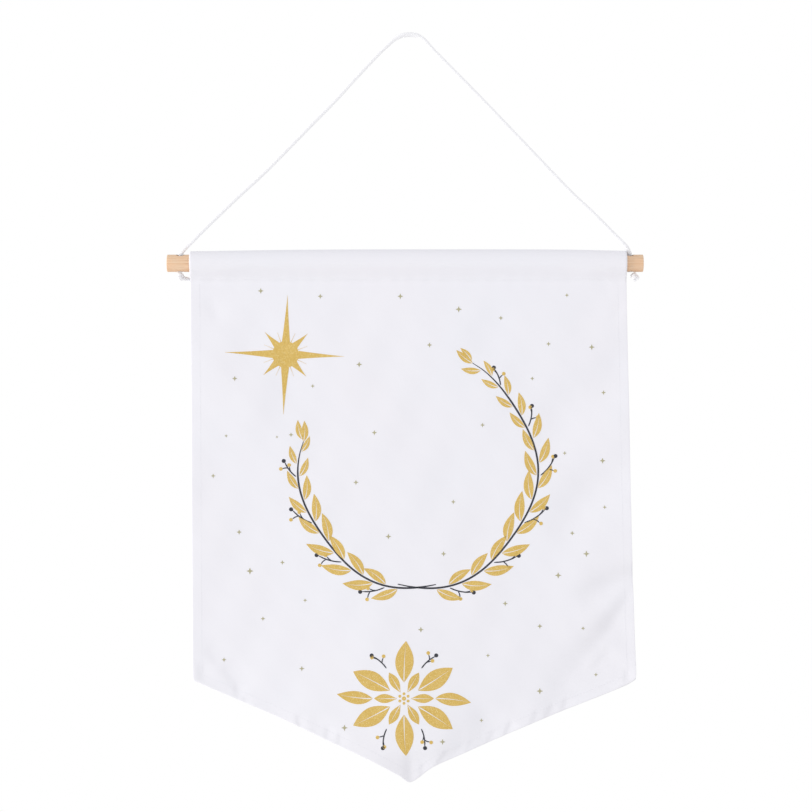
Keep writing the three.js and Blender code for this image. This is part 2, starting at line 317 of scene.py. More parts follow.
# The cord runs from under the left hole, over the hook, to under the right hole.
cord = {
    "diameter": 4.2,
    "braidPitch": 13.5,  # one strand's full turn round the cord
    "strands": 4,  # each way round
    "strandThick": 0.09,  # half a strand's thickness, in the cord's radii
    "strandSwing": 0.03,  # how far it goes in and out as it crosses others, the same
    "strandRound": 0.8,  # lower is flatter
    "stepsPerTurn": 40,
    "columns": 28,
    "proudStrands": 1.08,  # the strands' backs stand a little outside the diameter
    "route": [  # across and up
        (holeLeft, rodFoot), (holeLeft, -210.5), (-212.3, -205.0), (-212.0, -202.1), (-211.5, -199.9),
        (-210.2, -197.8), (-199.0, -186.2), (-187.9, -175.1), (-159.4, -147.8), (-134.5, -124.8),
        (-109.0, -99.0), (-93.3, -82.9), (-68.1, -57.2), (-52.4, -39.9), (-27.5, -13.6), (-20.4, -7.0),
        (-14.0, -1.6), (-7.2, 1.3), (0, 2.1), (6.6, 1.1), (12.7, -2.8), (19.3, -10.2), (34.2, -25.6),
        (60.8, -52.5), (85.5, -78.2), (110.6, -104.4), (137.8, -132.9), (151.5, -146.9), (167.5, -161.7),
        (188.1, -182.3), (197.6, -191.7), (200.5, -195.1), (202.2, -198.4), (203.1, -202.2),
        (holeRight, -206.5), (holeRight, rodFoot),
    ],
}


# A braid's skin round a line: strands turn both ways, and each stands out where it passes over another.
def braidAlong(line, radius, pitch):
    side, up = carryFrames(line)
    gone = goneAlong(line)[:, None]
    count, columns = cord["strands"], cord["columns"]
    clock = np.linspace(0, 2 * np.pi, columns + 1)
    radius = np.broadcast_to(radius, len(line))[:, None]
    halfThick, swing = cord["strandThick"] * radius, cord["strandSwing"] * radius
    middle = radius - halfThick - swing
    steep = math.hypot(1, 2 * math.pi * middle.max() / pitch)
    strandWide = 2 * math.pi * middle.max() / count / steep
    hand = np.array([1, -1])[:, None, None]
    places = (clock - hand * 2 * np.pi * gone / pitch) * count / (2 * np.pi)  # in strands round the cord
    rounded = np.abs(np.cos(np.pi * places)) ** cord["strandRound"]
    heights = hand * swing * np.cos(2 * np.pi * count * gone / pitch) + halfThick * rounded
    out = (middle + np.maximum(*heights))[:, :-1, None]
    outward = np.cos(clock[:-1])[:, None] * side[:, None] + np.sin(clock[:-1])[:, None] * up[:, None]
    points = (line[:, None] + out * outward).reshape(-1, 3)

    def atCorners(grid):
        return np.stack([grid[:-1, :-1], grid[:-1, 1:], grid[1:, 1:], grid[1:, :-1]], axis=-1)

    one, other = (atCorners(height).mean(-1, keepdims=True) for height in heights)
    place = np.where(one > other, atCorners(places[0]), atCorners(places[1]))
    across = (place - np.round(place.mean(-1, keepdims=True))) * strandWide
    down = atCorners(np.broadcast_to(gone * steep, heights[0].shape))
    uvs = np.stack([across, down], axis=-1).reshape(-1, 2)
    return points, tubeFaces(len(line), columns), np.vstack([uvs, np.zeros((2 * columns, 2))])


# Polyester yarn, plaited: dull white and finely lined by its filaments. Light goes some way through it, so its
# shaded side stays pale.
def polyesterBraid(tree, mapped, lightDepth):
    filament = 0.35  # mm; real ones are far finer, drawn this coarse so that they show
    place = addNode(tree, "TexCoord", {})["Object"]
    flat = addNode(tree, "UVMap", {}, uv_map="flat")[0] if mapped else place
    lines = addNode(tree, "TexWave", {
        "Vector": flat, "Scale": wavePeriod / (filament * mm), "Distortion": 1.2, "Detail": 1.0,
    })
    tone, _ = cloudyTone(tree, place, 4.17, 3.0, "#e7e7e9", "#ededef")
    return {
        "Base Color": tone, "Roughness": 0.8, "Specular IOR Level": 0.2, "Subsurface Weight": 1.0,
        "Subsurface Radius": (1.0, 1.0, 1.0), "Subsurface Scale": lightDepth * mm,
    }, (lines["Fac"], 0.3, 0.04)


def makeCord():
    route = [(x, 0, z) for x, z in cord["route"]]
    line, length = smoothLine(route, cord["braidPitch"] / cord["stepsPerTurn"])
    points, faces, uvs = braidAlong(line, cord["diameter"] / 2 * cord["proudStrands"], cord["braidPitch"])
    yarn = makeMaterial("polyesterBraid", polyesterBraid, True, 8)
    piece = makePiece("braidedCord", points, faces, yarn, uvs)
    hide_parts("hanging_cord")
    return piece, line, length


braidedCord, cordLine, cordLength = makeCord()
print(f"cord braided, {cordLength:.1f} mm")

knot = {
    "rodGap": 0.3,
    "wrapRadius": 1.95,
    "strandRadius": 1.85,
    "sunk": 0.9,  # how deep the end turns lie in the knot, in strand radii
    "pinchedRadius": 0.6,  # the cord where it is squeezed inside the knot
    "turns": 1.6,
    "turnSteps": 20,
    "quickRise": 1.15,  # the turns reach the top a little before they end
    "height": 7.4,
    "braidPitch": 9.5,
    "voxel": 0.14,
    "places": [  # tail points are across, back and up from the middle of the knot's top
        {
            "name": "leftKnot", "replaces": "left_knot", "x": holeLeft - 0.1, "tilt": 0.15, "startTurn": 0.9,
            "tail": [(4.0, 2.4, -5.7), (7.0, 4.8, -6.2), (9.4, 5.7, -8.6), (9.9, 5.6, -11.8), (9.7, 5.4, -15.0)],
        },
        {
            "name": "rightKnot", "replaces": "right_knot", "x": holeRight + 1.8, "tilt": -0.75, "startTurn": 2.6,
            "tail": [(2.4, -1.4, -4.4), (4.4, -1.6, -5.2), (6.0, -1.2, -5.9)],
        },
    ],
}
knottedYarn = makeMaterial("knottedBraid", polyesterBraid, False, 4)  # pulled tight, so less light gets in


# The cord comes down through the knot's middle, turns back up, winds round itself and leaves as a tail.
def makeKnot(place):
    full, pinched, wrap = knot["strandRadius"], knot["pinchedRadius"], knot["wrapRadius"]
    steps = knot["turnSteps"]
    start, top, foot = 0.4, -full * knot["sunk"], -knot["height"] + full * knot["sunk"]
    route = [(0, 0, start), (0, 0, -2), (0, 0, foot + 1.4)]
    for step in range(steps + 1):
        turn = place["startTurn"] - 2 * math.pi * knot["turns"] * step / steps
        height = foot + (top - foot) * min(1, step / steps * knot["quickRise"])
        route.append((wrap * math.cos(turn), wrap * math.sin(turn), height))
    leanX, leanZ = math.sin(place["tilt"]), math.cos(place["tilt"])
    turned = [(x * leanZ + z * leanX, y, z * leanZ - x * leanX) for x, y, z in route]
    seat = max(z for _, _, z in turned[1:]) + full + knot["rodGap"]
    placed = [(place["x"] + x, y, rodFoot + z - seat) for x, y, z in turned]
    placed += [(place["x"] + x, y, rodFoot - knot["rodGap"] + z) for x, y, z in place["tail"]]
    line, length = smoothLine(placed, knot["braidPitch"] / cord["stepsPerTurn"])
    inside = start - foot
    marks = (1.4, 2.8, inside - 1, inside + 2.5)
    radius = np.interp(np.linspace(0, length, len(line)), marks, (full, pinched, pinched, full))
    points, faces, _ = braidAlong(line, radius, knot["braidPitch"])
    piece = makePiece(place["name"], points, faces, knottedYarn)
    oneSkin = piece.modifiers.new("oneSkin", "REMESH")  # so that light passes from turn to turn
    oneSkin.mode, oneSkin.voxel_size, oneSkin.use_smooth_shade = "VOXEL", knot["voxel"] * mm, True
    applyModifiers(piece)
    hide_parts(place["replaces"])
    return piece


knots = [makeKnot(place) for place in knot["places"]]
print("knots tied")


# Beech dowel, sawn and sanded, unfinished: pale pinkish tan with long fine grain and short dark flecks.
def sandedBeech(tree):
    ringWidth, blotchWidth, fleckWidth, fibreWidth = 2.1, 21.7, 0.87, 0.3846  # mm
    pithBack, pithUp = 19, 13  # mm; the dowel was cut this far from the tree's middle
    place = addNode(tree, "TexCoord", {})["Object"]
    fromPith = addNode(tree, "Mapping", {
        "Vector": place, "Location": (0, pithBack * mm, (pithUp - rod["axisZ"]) * mm), "Scale": (0.06, 1, 1),
    })
    rings = addNode(tree, "TexWave", {
        "Vector": fromPith[0], "Scale": wavePeriod / (ringWidth * mm), "Distortion": 1.6, "Detail": 2.0,
        "Detail Scale": 0.35,
    }, wave_type="RINGS", rings_direction="X", wave_profile="SAW")["Fac"]
    drawn = addNode(tree, "Mapping", {"Vector": place, "Scale": (0.035, 1, 1)})[0]
    fibres = addNode(tree, "TexNoise", {
        "Vector": drawn, "Scale": 1 / (fibreWidth * mm), "Detail": 4.0, "Roughness": 0.65,
    })["Fac"]
    flecks = addNode(tree, "TexVoronoi", {"Vector": drawn, "Scale": 1 / (fleckWidth * mm)})["Distance"]
    blotches = addNode(tree, "TexNoise", {"Vector": place, "Scale": 1 / (blotchWidth * mm), "Detail": 2.0})["Fac"]
    tone = addNode(tree, "Mix", {0: rings, 6: linear("#f3d9bb"), 7: linear("#e7c29c")}, data_type="RGBA")[2]
    tone = tinted(tree, tone, "#f6c49a", blotches, (0.42, 0.7), (0.0, 0.75))
    tone = tinted(tree, tone, "#d4aa84", fibres, (0.35, 0.75), (0.0, 0.4))
    tone = tinted(tree, tone, "#b3835a", flecks, (0.1, 0.28), (0.55, 0.0))
    return {"Base Color": tone, "Roughness": 0.62}, (fibres, 0.35, 0.12)


# Beech inside the drilled holes, painted dark brown: a painted shade for the holes and their rims.
def paintedHoleShade(tree):
    place = addNode(tree, "TexCoord", {})["Object"]
    tone, uneven = cloudyTone(tree, place, 2.0, 3.0, "#4d2f1d", "#8a5c3b")
    return {"Base Color": tone, "Roughness": 0.8}, (uneven, 0.4, 0.1)


# A solid turned from a profile of (along, radius) rows; the first and last rows sit on the axis.
def turnedSolid(name, profile, sides, toPoint, material):
    bm = bmesh.new()
    rings = []
    for along, radius in profile:
        turns = [2 * math.pi * side / sides for side in range(sides if radius else 1)]
        places = [toPoint(along, radius * math.cos(turn), radius * math.sin(turn)) for turn in turns]
        rings.append([bm.verts.new([value * mm for value in place]) for place in places])
    for one, two in zip(rings, rings[1:]):
        for side in range(sides):
            after = (side + 1) % sides
            corners = ((one, side), (one, after), (two, after), (two, side))
            bm.faces.new(list(dict.fromkeys(ring[at % len(ring)] for ring, at in corners)))
    bmesh.ops.recalc_face_normals(bm, faces=bm.faces)
    return addSolid(name, bm, material)


def rodProfile():
    radius, worn, steps = rod["radius"], rod["edgeRound"], rod["lengthSteps"]
    inner, straight = radius - worn, rod["length"] - 2 * worn
    profile = [(rodLeft, 0), (rodLeft, inner * 0.5), (rodLeft, inner)]
    for turn in (math.radians(angle) for angle in (25, 50, 75, 90)):
        profile.append((rodLeft + worn * (1 - math.cos(turn)), inner + worn * math.sin(turn)))
    profile += [(rodLeft + worn + straight * step / steps, radius) for step in range(1, steps)]
    return profile + [(rodLeft + rodRight - along, out) for along, out in profile[6::-1]]


def makeRod():
    reach, radius, edge = rod["radius"], rod["holeRadius"], rod["holeEdge"]
    piece = turnedSolid(
        "turnedRod", rodProfile(), rod["sides"], lambda x, y, z: (x, y, z + rod["axisZ"]),
        makeMaterial("sandedBeech", sandedBeech),
    )
    # The drills give the holes' walls and rims this painted shade, dark brown.
    holeShade = makeMaterial("paintedHoleShade", paintedHoleShade)
    flare = [(-2 * reach, 0), (-2 * reach, radius + 2), (-reach - 0.2, radius + edge), (-reach + edge, radius)]
    flare += [(-along, out) for along, out in flare[::-1]]
    across, up = math.sin(rod["holeLean"]), math.cos(rod["holeLean"])
    for x in (holeLeft, holeRight):
        drill = turnedSolid("drill", flare, rod["holeSides"], lambda z, a, b: (
            x + a, b * up - z * across, z * up + b * across + rod["axisZ"],
        ), holeShade)
        cut = piece.modifiers.new("drilledHole", "BOOLEAN")
        cut.operation, cut.object, cut.solver, cut.material_mode = "DIFFERENCE", drill, "EXACT", "TRANSFER"
        done = applyModifiers(piece)
        bpy.data.objects.remove(drill)
    done.shade_smooth()
    done.set_sharp_from_angle(angle=math.radians(35))
    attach(piece, "root")
    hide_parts("wooden_rod")
    return piece


turnedRod = makeRod()
print("rod turned and drilled")

# The cloth is one cut piece, its sides and foot hemmed to the back, its head turned over the rod.
cloth = {
    "frontY": -1.4,  # the printed face, hanging straight
    "width": 404,
    "thickness": 0.5,
    "layerPitch": 1.1,  # from face to face of a hem's two layers
    "cornerDepth": 2.3,  # the same over four, where a side hem is folded into another
    "cornerFade": 9,
    "hemWidth": 10,
    "hemColumns": [1.5, 2.6, 4, 6, 8, 10],  # from the cloth's edge to the hem's
    "footHemRise": 11,  # the hem's width, straight up from the sloping foot
    "footCurl": 0.55,  # how low the foot's turn hangs, as a share of its depth
    "seamDrop": 14.5,  # from the rod's axis down to the sleeve's seam
    "seamMargin": 2.5,
    "seamTug": 0.08,
    "sleeveRadius": 11.1,
    "mouthDepth": 1.9,  # the side hems stand thicker round the rod
    "columnPitch": 1.42,
    "flapRows": 6,
    "footReach": 36,  # rows lie closer near the foot, for its puckers
    "rows": {"foot": 24, "panel": 80, "rise": 7, "round": 18},
    "flankEase": 0.25,  # how far a flank of the sleeve turns upright at the seam
    "flankTouch": math.radians(98),  # away from the stiff hems the flanks hang almost straight
    "flankFade": 50,  # how far from a hem they are straight
    "foldSteps": 6,
}
seamZ = rod["axisZ"] - cloth["seamDrop"]
tipZ = -689.1

edgeLines = [  # height, left edge, right edge
    (-197, -203.8, 200.2), (-236, -203.1, 200.3), (-336, -202.3, 202.5), (-475, -201.6, 205.4),
    (-567, -201.1, 208.6), (-588, -200.7, 209.3), (-596, -200.5, 208.6),
]
footLine = [  # share of the width, height
    (0, -595.3), (0.033, -601.2), (0.112, -614.8), (0.199, -630.1), (0.3, -649.5), (0.402, -669.1),
    (0.467, -683.4), (0.491, tipZ), (0.54, -675.8), (0.6, -664.6), (0.72, -643.0), (0.826, -624.9),
    (0.98, -599.6), (1, -594.6),
]
# How much higher the sleeve's top lies: share of the width, rise.
sleeveRise = [(0, 0), (0.25, 1.4), (0.5, 1.8), (0.85, 1.6), (1, 0.5)]

# The main troughs, each a smooth line of rows: across, up, depth, reach above it and reach below it. A short
# reach is a steep side.
troughs = [
    [
        (228, -491, 0, 5, 36), (213, -505, 0.5, 5, 42), (205, -516.5, 1.3, 5.5, 46),
        (197.5, -529.5, 2.7, 6.6, 50), (188.6, -544, 4.3, 8, 56), (177.8, -558.5, 3.8, 9, 58),
        (165.2, -573.2, 2.9, 10.5, 56), (152.5, -588.5, 2.1, 13, 50), (143, -605, 1.7, 14, 44),
        (138.5, -622, 1.5, 13, 34), (135.5, -645, 1.0, 12, 26), (132, -690, 0, 10, 18),
    ],
    [
        (140, -524, 0, 7, 8), (156, -518, 0.5, 7.5, 8.5), (170, -512, 1.7, 8, 9), (183, -507, 2.9, 8, 9),
        (196, -502.5, 3.6, 8, 9), (212, -498, 3.8, 8, 9),
    ],
]
# Straight folds and creases: from a point to a point, how deep they dip (below zero they stand out), and how
# far they reach to the left and to the right of the way they run.
folds = [
    (209, -392, 128, -452, 1.5, 17, 14),
    (205, -296, 112, -372, 1.3, 19, 16),
    (-203, -300, -120, -352, -1.0, 18, 18),
    (-186, -564, -176, -579, 0.4, 8, 3.6),
    (-172, -580, -154, -606, 0.6, 10, 3.8),
    (170, -585, 186, -567, 0.45, 2.6, 7),
    (66, -668, 71, -620, 1.3, 9, 14),
    (38, -672, 50, -640, 0.6, 7, 10),
]
# Puckers where the hems' stitches pull, the tip's gathered corner and the sleeve's right end.
creases = [
    (140.5, -627, 146, -612, 0.52, 2, 5.6),
    (124.5, -633, 133, -618.5, 0.57, 2.2, 5),
    (114, -636, 118.8, -622, 0.48, 2, 5),
    (88.6, -647, 94.4, -633, 0.7, 1.8, 5),
    (71, -655, 79, -643, 0.48, 2, 5),
    (53.5, -661, 58, -650.5, 0.35, 1.8, 5),
    (37, -668, 51, -652.5, 0.52, 2.8, 7.5),
    (25.5, -674, 36, -660, 0.83, 2, 5.5),
    (11.5, -687, 11, -672, 0.43, 1.6, 4.4),
    (2.5, -694, 1.5, -664, 2.1, 5, 36),
    (-3, -696, -5, -662, 1.6, 13, 40),
    (-65.2, -656, -64, -643, 0.39, 1.7, 5),
    (-76.3, -650, -75.2, -638, 0.48, 1.7, 4.8),
    (-86, -646, -88, -626, 0.39, 4, 10),
    (-100.5, -641, -103.6, -627, 0.65, 1.8, 5.5),
    (-151.5, -619, -153, -610, 0.35, 1.6, 3.8),
    (-158, -612, -161, -600, 0.35, 1.8, 5),
    (-190.8, -596, -192.8, -580, 0.43, 2.2, 5),
    (201, -598, 200.5, -585, 0.43, 1.6, 4.2),
    (178, -222, 184, -238, 0.2, 3, 2.6),
    (166, -217, 170, -231, -0.16, 4, 3.6),
    (188, -262, 197, -247, 0.4, 5, 3.4),
    (-187, -243, -176, -262, 0.35, 6, 3.5),
]
slowWaves = {"depth": 2.2, "waves": 1.4, "phase": 0.9, "tipForward": 2.5}
fineWaves = [  # depth, waves a metre across and up, phase
    (0.16, 9.0, 5.5, 0.4), (0.11, -14.0, 11.0, 2.1), (0.08, 23.0, -7.0, 4.0), (0.05, 31.0, 29.0, 1.2),
]


def foldDepth(x, z, table):
    depth = 0
    for fromX, fromZ, toX, toZ, deep, leftReach, rightReach in table:
        runX, runZ = toX - fromX, toZ - fromZ
        run = math.hypot(runX, runZ)
        along = ((x - fromX) * runX + (z - fromZ) * runZ) / run**2
        across = ((x - fromX) * runZ - (z - fromZ) * runX) / run
        reach = np.where(across > 0, rightReach, leftReach)
        depth = depth + deep * np.exp(-((2 * (along - 0.5)) ** 4)) * np.exp(-0.5 * (across / reach) ** 2)
    return depth


def troughDepth(x, z, rows):
    line, _ = smoothLine(rows, 3)
    place = np.stack([x, z], axis=-1)[:, None]
    start, run = line[:-1, :2], np.diff(line[:, :2], axis=0)
    t = np.clip(((place - start) * run).sum(2) / (run * run).sum(1), 0, 1)
    away = place - start - run * t[:, :, None]
    apart = np.linalg.norm(away, axis=2)
    at = apart.argmin(1)
    near = np.arange(len(apart)), at
    depth, above, below = (line[at, 2:] + (line[at + 1, 2:] - line[at, 2:]) * t[near][:, None]).T
    isAbove = away[near][:, 1] > 0
    return depth * np.exp(-0.5 * (apart[near] / np.where(isAbove, above, below)) ** 2)


def edgesAt(z):
    level = np.maximum(z, edgeLines[-1][0])
    return readTable(edgeLines, level, 1), readTable(edgeLines, level, 2)


# How far behind the straight-hanging plane the cloth lies.
def clothDepth(x, z, share):
    drop = np.clip((seamZ - z) / (seamZ - tipZ), 0, 1)
    wave = np.sin(2 * np.pi * slowWaves["waves"] * share + slowWaves["phase"])
    held = smoothStep(seamZ - z, 0, 40)
    depth = slowWaves["depth"] * drop**2 * wave - slowWaves["tipForward"] * drop**3 + foldDepth(x, z, creases)
    depth = depth + held * (foldDepth(x, z, folds) + sum(troughDepth(x, z, rows) for rows in troughs))
    for deep, wavesX, wavesZ, phase in fineWaves:
        depth = depth + held * deep * np.sin(2 * np.pi * (wavesX * x + wavesZ * z) * mm + phase)
    tug = cloth["seamTug"] * np.exp(-(((seamZ - z) / 7) ** 2))  # the seam's stitches pull unevenly
    return depth + tug * np.sin(x / 2.9 + 1.3 * np.sin(x / 17) + 0.7 * np.sin(x / 41))


# The depth of a hem's layers, by the distance from the nearer side of the cloth.
def layersDepth(inFrom):
    near = 1 - smoothStep(inFrom, cloth["hemWidth"], cloth["hemWidth"] + cloth["cornerFade"])
    return cloth["layerPitch"] + (cloth["cornerDepth"] - cloth["layerPitch"]) * near


# Columns of the cut cloth, from the left hem's raw edge to the right's: (distance from the edge, side, turn).
# turn goes from 0 on the front to half a turn on the back; in between, the fold itself gives the distance.
def clothColumns():
    steps, inner = cloth["foldSteps"], cloth["hemWidth"]
    hem = [(edge, math.pi) for edge in cloth["hemColumns"][::-1]]
    hem += [(math.nan, math.pi * (1 - step / steps)) for step in range(1, steps)]
    hem += [(edge, 0) for edge in cloth["hemColumns"]]
    middle = cloth["width"] - 2 * inner
    count = round(middle / cloth["columnPitch"])
    panel = [(inner + middle * step / count, 0, 0) for step in range(1, count)]
    return [(edge, 0, turn) for edge, turn in hem] + panel + [(edge, 1, turn) for edge, turn in hem[::-1]]


# Rows, from the foot hem's raw edge round the foot, up the front, over the rod and down to the seam's edge.
def clothRows():
    flap, turns = cloth["flapRows"], cloth["foldSteps"]
    rows = [("flap", 1 - step / flap) for step in range(flap)]
    rows += [("footTurn", math.pi * (1 - step / turns)) for step in range(turns + 1)]
    for kind, count in cloth["rows"].items():
        rows += [(kind, step / count) for step in range(1, count + 1)]
    count = cloth["rows"]["rise"]
    rows[-1:] = [("fall", step / count) for step in range(count + 1)]  # the fall begins where the round ends
    return rows + [("margin", 0.5), ("margin", 1)]


# Where a flank goes onto the sleeve's round, as an angle from the top: straight from the seam, or relaxed.
def touchAngle(seamY, relaxed):
    drop, radius = cloth["seamDrop"], cloth["sleeveRadius"]
    straight = np.pi - np.arctan(seamY / drop) - np.arccos(radius / np.hypot(seamY, drop))
    return straight + (cloth["flankTouch"] - straight) * relaxed


# A flank of the sleeve, from the seam (t 0) onto the round (t 1): its places and directions, as (y, z).
def flank(seamY, angle, t):
    seam = np.array([np.broadcast_to(seamY, angle.shape), np.full(angle.shape, seamZ)])
    radius = cloth["sleeveRadius"]
    touch = np.array([radius * np.sin(angle), rod["axisZ"] + radius * np.cos(angle)])
    reach = touch - seam
    far = np.hypot(*reach)
    leave = reach * (1 - cloth["flankEase"]) + np.array([np.zeros(angle.shape), far]) * cloth["flankEase"]
    arrive = -np.sign(angle) * far * np.array([np.cos(angle), -np.sin(angle)])
    one, two = seam + leave * 0.3, touch - arrive * 0.2
    place = seam * (1 - t) ** 3 + one * 3 * t * (1 - t) ** 2 + two * 3 * t * t * (1 - t) + touch * t**3
    travel = (one - seam) * (1 - t) ** 2 + (two - one) * 2 * t * (1 - t) + (touch - two) * t * t
    return place, travel / np.hypot(*travel)


# One row of the sleeve: places (y, z) of the outer face, and the directions in towards the rod.
def sleeveRow(kind, t, backY, inFrom):
    relaxed = smoothStep(inFrom, cloth["hemWidth"], cloth["hemWidth"] + cloth["flankFade"])
    front, back = -touchAngle(-cloth["frontY"], relaxed), touchAngle(backY, relaxed)
    if kind == "rise":
        place, (travelY, travelZ) = flank(cloth["frontY"], front, t)
        return place, (travelZ, -travelY)
    if kind == "fall":
        place, (travelY, travelZ) = flank(backY, back, 1 - t)
        return place, (-travelZ, travelY)
    angle = front + (back - front) * t
    outY, outZ = np.sin(angle), np.cos(angle)
    return (cloth["sleeveRadius"] * outY, rod["axisZ"] + cloth["sleeveRadius"] * outZ), (-outY, -outZ)


def clothPoints():
    (flat, side, turn), width = np.array(clothColumns()).T, cloth["width"]
    points, acrosses = [], []
    for kind, t in clothRows():
        roll = {"rise": t, "round": 1, "fall": 1 - t}.get(kind, 0)
        pitch = cloth["layerPitch"] + (cloth["mouthDepth"] - cloth["layerPitch"]) * roll
        edge = np.where(np.isnan(flat), pitch / 2 * (1 - np.sin(turn)), flat)
        inFrom = np.minimum(edge, width - edge)
        share = np.where(side == 0, edge / width, 1 - edge / width)
        foot = readTable(footLine, share)
        stack = layersDepth(inFrom)
        tuck = pitch * (1 - np.cos(turn)) / 2  # how far a side hem's own turn takes it back
        footStart = cloth["footCurl"] * stack
        y, inY, inZ = np.full_like(edge, cloth["frontY"]), 1, 0
        if kind == "flap":
            z = foot + footStart + (cloth["footHemRise"] - footStart) * t
            tuck = stack - tuck
        elif kind == "footTurn":
            z = foot + footStart - cloth["footCurl"] * np.sin(t) * (stack - 2 * tuck)
            tuck = tuck + (stack - 2 * tuck) * (1 - np.cos(t)) / 2
        elif kind == "foot":
            z = foot + footStart + (cloth["footReach"] - footStart) * t
        elif kind == "panel":
            z = (foot + cloth["footReach"]) * (1 - t) + seamZ * t
        elif kind == "margin":
            z = np.full_like(edge, seamZ - cloth["seamMargin"] * t)
            y, inY = y + stack, -1
        else:
            (y, z), (inY, inZ) = sleeveRow(kind, t, y + stack, inFrom)
            z = z + readTable(sleeveRise, share) * np.maximum(0, (z - rod["axisZ"]) / cloth["sleeveRadius"])
        left, right = edgesAt(z)
        x = left + (right - left) * share
        points.append(np.stack([x, y + clothDepth(x, z, share) + inY * tuck, z + inZ * tuck], axis=1))
        across = np.where(turn > 0, -edge, edge)
        acrosses.append(np.where(side == 0, across, width - across))
    points = np.array(points)
    # laid flat, the rows lie their own distance apart
    return points, np.stack([acrosses, goneAlong(points)], axis=2)


# Polyester canvas, plain woven and white: even, matt, a little blue, each thread a low bump.
def polyesterCanvas(tree):
    thread = 0.7  # mm; the real weave is near 0.3, drawn this coarse so that it shows
    wobbleWidth, slubWidth = 6.25, 2.38  # mm
    flat = addNode(tree, "UVMap", {}, uv_map="flat")[0]
    wobble = addNode(tree, "TexNoise", {"Vector": flat, "Scale": 1 / (wobbleWidth * mm), "Detail": 2.0})
    shift = addNode(tree, "VectorMath", {0: wobble["Color"], 1: (0.0009, 0.0009, 0.0)}, operation="MULTIPLY")
    yarns = addNode(tree, "VectorMath", {0: flat, 1: shift[0]}, operation="ADD")[0]
    over = []
    for direction in ("X", "Y"):  # warp and weft, from -1 under to 1 over
        scale = wavePeriod / (2 * thread * mm)
        wave = addNode(tree, "TexWave", {"Vector": yarns, "Scale": scale}, bands_direction=direction)
        over.append(addNode(tree, "Math", {0: wave["Fac"], 1: 2.0, 2: -1.0}, operation="MULTIPLY_ADD")[0])
    weave = addNode(tree, "Math", {0: over[0], 1: over[1]}, operation="MULTIPLY")
    slubs = addNode(tree, "TexNoise", {"Vector": flat, "Scale": 1 / (slubWidth * mm), "Detail": 3.0})
    height = addNode(tree, "Math", {0: slubs["Fac"], 1: 0.9, 2: weave[0]}, operation="MULTIPLY_ADD")
    tone, _ = cloudyTone(tree, flat, 111.0, 2.0, "#eff0f5", "#f3f1f5")
    inputs = {"Base Color": tone, "Roughness": 0.78, "Sheen Weight": 0.12, "Sheen Roughness": 0.5}
    return inputs, (height[0], 0.32, 0.05)


def makeCloth():
    points, uvs = clothPoints()
    canvas = makeMaterial("polyesterCanvas", polyesterCanvas)
    piece = makePiece(
        "bannerSheet", points.reshape(-1, 3), gridFaces(*points.shape[:2]), canvas, uvs.reshape(-1, 2),
    )
    giveThickness(piece, cloth["thickness"])
    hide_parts("banner_cloth")
    steps = np.linalg.norm(np.diff(points, axis=0), axis=2)
    widths = np.linalg.norm(np.diff(points, axis=1), axis=2)
    area = float(((widths[1:] + widths[:-1]) / 2 * (steps[:, 1:] + steps[:, :-1]) / 2).sum())
    return piece, float(widths[-2].sum()), float(steps.sum(axis=0).max()), area


bannerSheet, cutWidth, cutLength, cutArea = makeCloth()
print(f"cloth hung: cut {cutWidth:.0f} x {cutLength:.0f} mm, {cutArea / 1e6:.4f} square metres")

# Lockstitch in white thread, seen on both faces.
stitch = {
    "pitch": 2.9,
    "length": 2.45,
    "radius": 0.115,
    "inset": 1.6,  # from a hem's inner edge to its stitches
    "sides": 6,
    "profile": [(0.0, -0.12, 0.7), (0.2, 0.01, 1), (0.5, 0.04, 1.05), (0.8, 0.01, 1), (1.0, -0.12, 0.7)],
}


# Stitches along a line on the cloth; facing is -1 on its front and 1 on its back.
def stitchesAlong(line, facing, points, faces):
    gone, sides, rings = goneAlong(line), stitch["sides"], len(stitch["profile"])
    turns = 2 * np.pi * np.arange(sides) / sides
    out = np.array([0, facing, 0])
    for first in np.arange(0.6, gone[-1] - stitch["length"], stitch["pitch"]):
        faces += tubeFaces(rings, sides, len(points))
        for share, lift, swell in stitch["profile"]:
            mark = first + share * stitch["length"]
            centre, ahead = (np.array([np.interp(at, gone, row) for row in line.T]) for at in (mark, mark + 0.5))
            across = np.cross((ahead - centre) / np.linalg.norm(ahead - centre), out)
            middle, radius = centre + out * lift, stitch["radius"] * swell
            points += [middle + radius * (math.cos(turn) * across + math.sin(turn) * out) for turn in turns]


# Spun polyester sewing thread: white, slightly shiny, its two plies wound round each other.
def sewingThread(tree):
    plyPitch = 0.45  # mm
    place = addNode(tree, "TexCoord", {})["Object"]
    scale = wavePeriod / (plyPitch * mm)
    plies = addNode(tree, "TexWave", {"Vector": place, "Scale": scale}, bands_direction="DIAGONAL")["Fac"]
    tone = addNode(tree, "Mix", {0: plies, 6: linear("#e6e7ed"), 7: linear("#f4f4f7")}, data_type="RGBA")
    return {"Base Color": tone[2], "Roughness": 0.5}, (plies, 0.5, 0.05)


